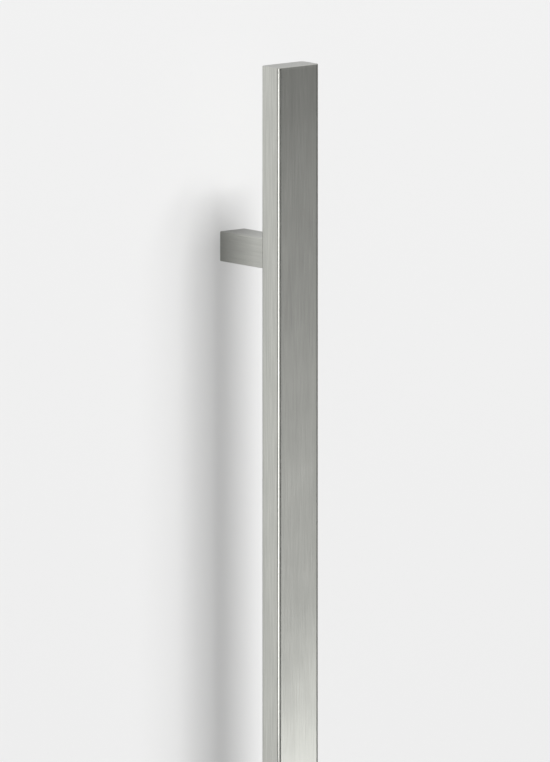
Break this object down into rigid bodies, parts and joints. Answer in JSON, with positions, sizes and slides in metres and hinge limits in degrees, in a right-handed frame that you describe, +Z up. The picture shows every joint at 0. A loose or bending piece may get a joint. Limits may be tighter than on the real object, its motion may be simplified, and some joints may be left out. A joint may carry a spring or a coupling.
{
  "type": "door pull bar",
  "caption": "Upright rectangular pull bar of satin brushed steel, standing off a door on short posts with concealed fixing.",
  "frame": {"origin": "on the door's face, midway between the two posts", "axes": "+Z up along the grip, +Y into the door, so the handle stands off towards -Y, +X to the right seen from the front"},
  "size_m": [0.04, 0.077, 0.784],
  "materials": {
    "grip_steel": "satin, brushed along the bar",
    "post_steel": "satin, brushed along the post",
    "turned_steel": "fine turned",
    "screw_steel": "plain cold formed stainless",
    "washer_steel": "plain spring steel",
    "block_steel": "milled"
  },
  "bodies": {
    "root": {"grip_tube": "grip_steel", "top_end_cap": "grip_steel", "bottom_end_cap": "grip_steel", "upper_post": "post_steel", "lower_post": "post_steel", "upper_post_screw": "screw_steel", "lower_post_screw": "screw_steel", "upper_lock_washer": "washer_steel", "lower_lock_washer": "washer_steel", "upper_thread_block": "block_steel", "lower_thread_block": "block_steel", "upper_fixing_spigot": "turned_steel", "lower_fixing_spigot": "turned_steel", "upper_grub_screw": "screw_steel", "lower_grub_screw": "screw_steel"}
  },
  "joints": []
}
